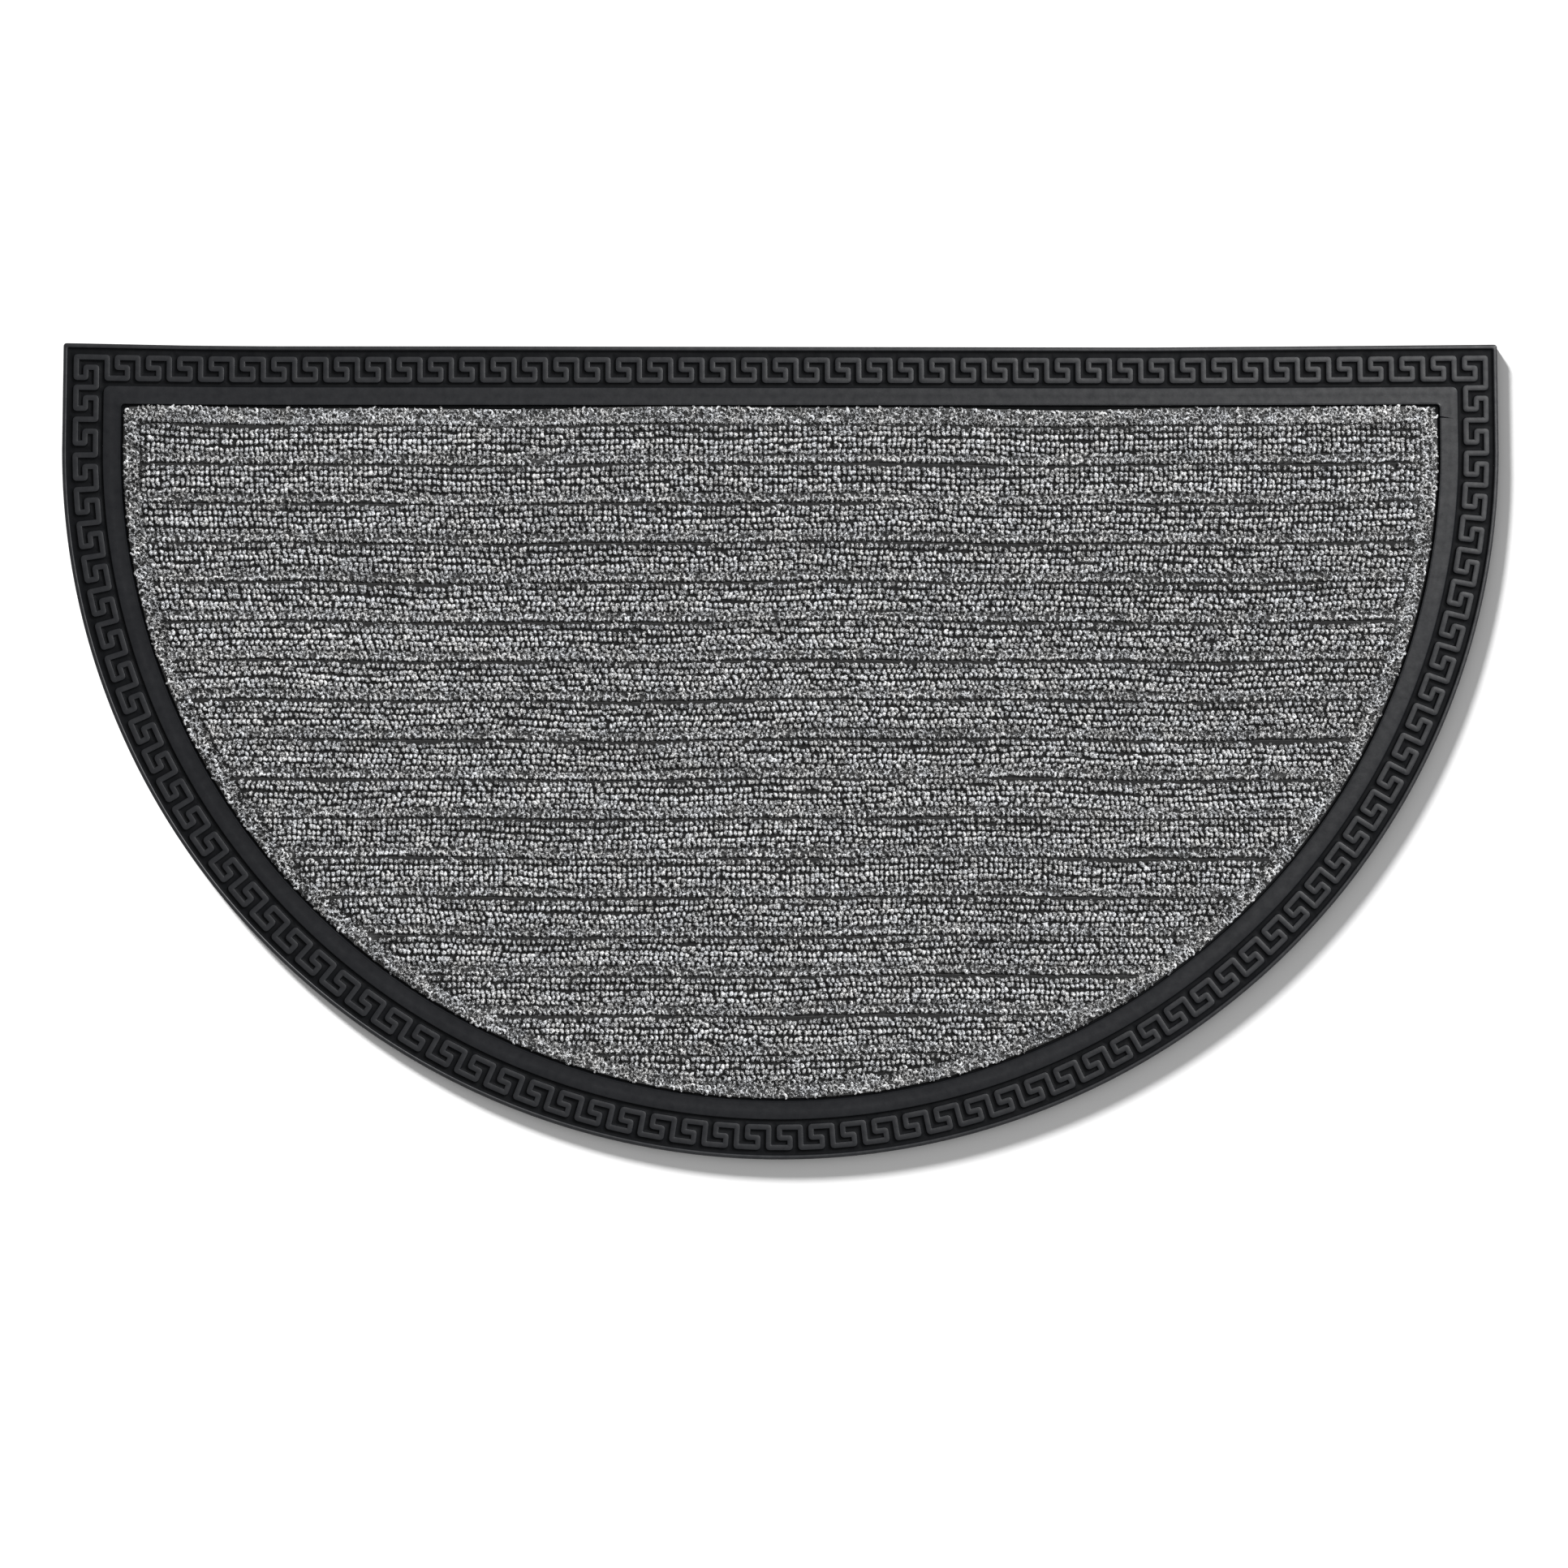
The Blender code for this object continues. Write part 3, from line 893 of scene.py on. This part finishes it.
def rubber_material():
    """Matt moulded rubber, greyer where it stands up, with painted shade low in the channel, greyer where
    worn, mottled, with the painted shade of one cut.
    """
    material, tree, shader = new_material("rubber_finish")
    coords = tree.nodes.new("ShaderNodeTexCoord").outputs["Object"]
    patches = add_noise(tree, coords, PATCH_SCALE, detail=4.0, roughness=0.6)
    grain = add_noise(tree, coords, GRAIN_SCALE, detail=2.0)
    split = tree.nodes.new("ShaderNodeSeparateXYZ")
    tree.links.new(coords, split.inputs["Vector"])
    lift = add_node(tree, "ShaderNodeMapRange", From_Min=RUBBER_LOW, From_Max=RUBBER_HIGH)
    tree.links.new(split.outputs["Z"], lift.inputs["Value"])
    height = lift.outputs["Result"]
    worn = add_attribute(tree, "worn").outputs["Fac"]
    # Painted shade: the colour darkens with depth, darkest on the channel floor
    rise = add_math(tree, "MULTIPLY_ADD", worn, LEVEL_OF_WEAR, SHADE_PAINTED_BY_HEIGHT)
    level = add_math(tree, "MULTIPLY", height, rise)
    level = add_math(tree, "MULTIPLY_ADD", patches, LEVEL_OF_PATCHES, level)
    level = add_math(tree, "MULTIPLY_ADD", grain, LEVEL_OF_GRAIN, level)
    # Painted shade of the cut, which is not in the mesh: darker colour and less shine there
    cut = cut_mask(tree, split.outputs["X"], split.outputs["Y"])
    whole = add_math(tree, "MULTIPLY_ADD", cut, -CUT_PAINTED_SHADE, 1.0)
    level = add_math(tree, "MULTIPLY", level, whole)
    colour = add_ramp(tree, level, ((RUBBER_DARK_LEVEL, RUBBER_DARK), (1.0, RUBBER_LIGHT)))
    tree.links.new(colour, shader.inputs["Base Color"])
    rough = add_math(tree, "MULTIPLY_ADD", height, ROUGH_OF_HEIGHT, ROUGH_BASE)
    rough = add_math(tree, "MULTIPLY_ADD", patches, ROUGH_OF_PATCHES, rough)
    tree.links.new(rough, shader.inputs["Roughness"])
    shine = add_math(tree, "MULTIPLY_ADD", height, SHINE_OF_HEIGHT, SHINE_BASE)
    polish = add_math(tree, "MULTIPLY", height, worn)
    shine = add_math(tree, "MULTIPLY_ADD", polish, SHINE_OF_WEAR, shine)
    smudges = add_noise(tree, coords, SMUDGE_SCALE, roughness=0.6)
    mottle = add_math(tree, "MULTIPLY_ADD", smudges, MOTTLE_OF_SMUDGES, MOTTLE_BASE)
    shine = add_math(tree, "MULTIPLY", shine, mottle)
    shine = add_math(tree, "MULTIPLY", shine, whole)
    tree.links.new(shine, shader.inputs["Specular IOR Level"])
    bump = add_node(tree, "ShaderNodeBump", Strength=0.25, Distance=0.08 * MM)
    tree.links.new(grain, bump.inputs["Height"])
    tree.links.new(bump.outputs["Normal"], shader.inputs["Normal"])
    return material


def backing_material():
    """The woven backing with stray fibre on it: lightest on the margin, with painted shade that makes it
    black in the creases and dark under the ribs' loops.
    """
    material, tree, shader = new_material("backing_finish")
    coords = tree.nodes.new("ShaderNodeTexCoord").outputs["Object"]
    weave = add_noise(tree, coords, WEAVE_SCALE, detail=2.0)
    split = tree.nodes.new("ShaderNodeSeparateXYZ")
    tree.links.new(coords, split.inputs["Vector"])
    low = BACKING_LOW - CREASE_DEPTH
    high = BACKING_LOW + BACKING_RISE
    height = add_node(tree, "ShaderNodeMapRange", From_Min=low, From_Max=high)
    tree.links.new(split.outputs["Z"], height.inputs["Value"])
    margin = CREASE_DEPTH / (high - low)
    # Painted shade: black in the creases and dark where the ribs' backing shows between the loops; lightest
    # at the margin's height, where stray fibre covers it
    stops = ((margin - 0.25, grey(0.0)), (margin, grey(1.0)), (margin + 0.2, grey(0.2)))
    lit = add_ramp(tree, height.outputs["Result"], stops)
    level = add_math(tree, "MULTIPLY", weave, lit)
    stops = ((0.05, grey(BACKING_DARK)), (0.75, grey(BACKING_LIGHT)))
    colour = add_ramp(tree, level, stops)
    tree.links.new(colour, shader.inputs["Base Color"])
    shader.inputs["Roughness"].default_value = 0.95
    bump = add_node(tree, "ShaderNodeBump", Strength=0.6, Distance=0.3 * MM)
    tree.links.new(weave, bump.inputs["Height"])
    tree.links.new(bump.outputs["Normal"], shader.inputs["Normal"])
    return material


def pile_material():
    """Grey yarn: each loop has its own shade, which carries painted shade at its feet, on its sides and in
    the creases, broken by light and dark filaments, faintly tinted.
    """
    material, tree, shader = new_material("pile_finish")
    shade = add_attribute(tree, "shade")
    yarn = add_attribute(tree, "yarn")
    stretch = tree.nodes.new("ShaderNodeVectorMath")
    stretch.operation = "MULTIPLY"
    stretch.inputs[1].default_value = FILAMENT_STRETCH
    tree.links.new(yarn.outputs["Vector"], stretch.inputs[0])
    filaments = add_noise(tree, stretch.outputs["Vector"], 1.0, detail=2.0, roughness=0.6)
    level = add_math(tree, "MULTIPLY_ADD", shade.outputs["Fac"], LEVEL_OF_SHADE, YARN_LEVEL)
    level = add_math(tree, "MULTIPLY_ADD", filaments, LEVEL_OF_FILAMENTS, level)
    stops = ((0.14, grey(YARN_DARK)), (0.50, grey(YARN_MIDDLE)), (1.0, grey(YARN_LIGHT)))
    colour = add_ramp(tree, level, stops)
    coords = tree.nodes.new("ShaderNodeTexCoord").outputs["Object"]
    patches = add_noise(tree, coords, TINT_SCALE, detail=2.0)
    tint = add_ramp(tree, patches, ((0.36, COOL_TINT), (0.66, WARM_TINT)))
    tinted = tree.nodes.new("ShaderNodeVectorMath")
    tinted.operation = "MULTIPLY"
    tree.links.new(colour, tinted.inputs[0])
    tree.links.new(tint, tinted.inputs[1])
    tree.links.new(tinted.outputs["Vector"], shader.inputs["Base Color"])
    shader.inputs["Roughness"].default_value = 0.8
    shader.inputs["Specular IOR Level"].default_value = 0.3
    bump = add_node(tree, "ShaderNodeBump", Strength=0.8, Distance=0.30 * MM)
    tree.links.new(filaments, bump.inputs["Height"])
    tree.links.new(bump.outputs["Normal"], shader.inputs["Normal"])
    return material


def build_floor():
    """A plain pale floor just under the mat."""
    material, tree, shader = new_material("floor_finish")
    coords = tree.nodes.new("ShaderNodeTexCoord").outputs["Object"]
    tone = add_noise(tree, coords, FLOOR_SCALE)
    colour = add_ramp(tree, tone, ((0.3, grey(FLOOR_DARK)), (0.7, grey(FLOOR_LIGHT))))
    tree.links.new(colour, shader.inputs["Base Color"])
    shader.inputs["Roughness"].default_value = 0.9
    corners = ((-1, -1), (1, -1), (1, 1), (-1, 1))
    points = np.array([(x * FLOOR_HALF, y * FLOOR_HALF, -FLOOR_DROP) for x, y in corners])
    data = mesh_from("floor", points, np.array([[0, 1, 2, 3]]))
    data.materials.append(material)
    floor = bpy.data.objects.new("floor", data)
    bpy.context.scene.collection.objects.link(floor)
    return floor


def aim(thing, place, target):
    """Put a light at a place and turn it to look at a target."""
    thing.location = place
    thing.rotation_euler = (Vector(target) - Vector(place)).to_track_quat("-Z", "Y").to_euler()


def add_light(name, kind, energy, place, lit, **settings):
    """A light aimed at the mat's middle that lights only the given pieces."""
    data = bpy.data.lights.new(name, kind)
    data.energy = energy
    for setting, value in settings.items():
        setattr(data, setting, value)
    light = bpy.data.objects.new(name, data)
    bpy.context.scene.collection.objects.link(light)
    aim(light, place, (0.0, 0.0, 0.0))
    receivers = bpy.data.collections.new(name + "_lit")
    for piece in lit:
        receivers.objects.link(piece)
    light.light_linking.receiver_collection = receivers


def build_lights(floor, pieces):
    """Soft studio light: a bright surround, two lights on the mat and a low one on the floor."""
    world = bpy.data.worlds.new("surround")
    world.use_nodes = True
    background = world.node_tree.nodes["Background"]
    background.inputs["Color"].default_value = (1.0, 1.0, 1.0, 1.0)
    background.inputs["Strength"].default_value = SURROUND_STRENGTH
    bpy.context.scene.world = world
    add_light("key_light", "SUN", KEY_LIGHT_ENERGY, KEY_LIGHT_PLACE, pieces, angle=KEY_LIGHT_ANGLE)
    add_light("softbox", "AREA", SOFTBOX_ENERGY, SOFTBOX_PLACE, pieces, size=SOFTBOX_SIZE)
    add_light("floor_light", "SUN", FLOOR_LIGHT_ENERGY, FLOOR_LIGHT_PLACE, [floor], angle=FLOOR_LIGHT_ANGLE)


def build_camera():
    """Look straight down, with the mat as large and in the same place as in the photo."""
    scale = 2 * HALF_WIDTH / PHOTO_MAT_WIDTH_PX
    data = bpy.data.cameras.new("camera")
    data.sensor_width = SENSOR
    data.lens = SENSOR * CAMERA_HEIGHT / (PHOTO_SIDE_PX * scale)
    camera = bpy.data.objects.new("camera", data)
    bpy.context.scene.collection.objects.link(camera)
    x = (PHOTO_SIDE_PX / 2 - PHOTO_MAT_CENTRE_PX[0]) * scale
    y = -(PHOTO_SIDE_PX / 2 - PHOTO_MAT_CENTRE_PX[1]) * scale
    camera.location = (x, y, CAMERA_HEIGHT)
    bpy.context.scene.camera = camera


bpy.context.scene.view_settings.view_transform = "Standard"
tray = build_base(rubber_material())
backing = build_backing(backing_material())
pile = build_pile(pile_material())
build_lights(build_floor(), [tray, backing] + pile)
build_camera()
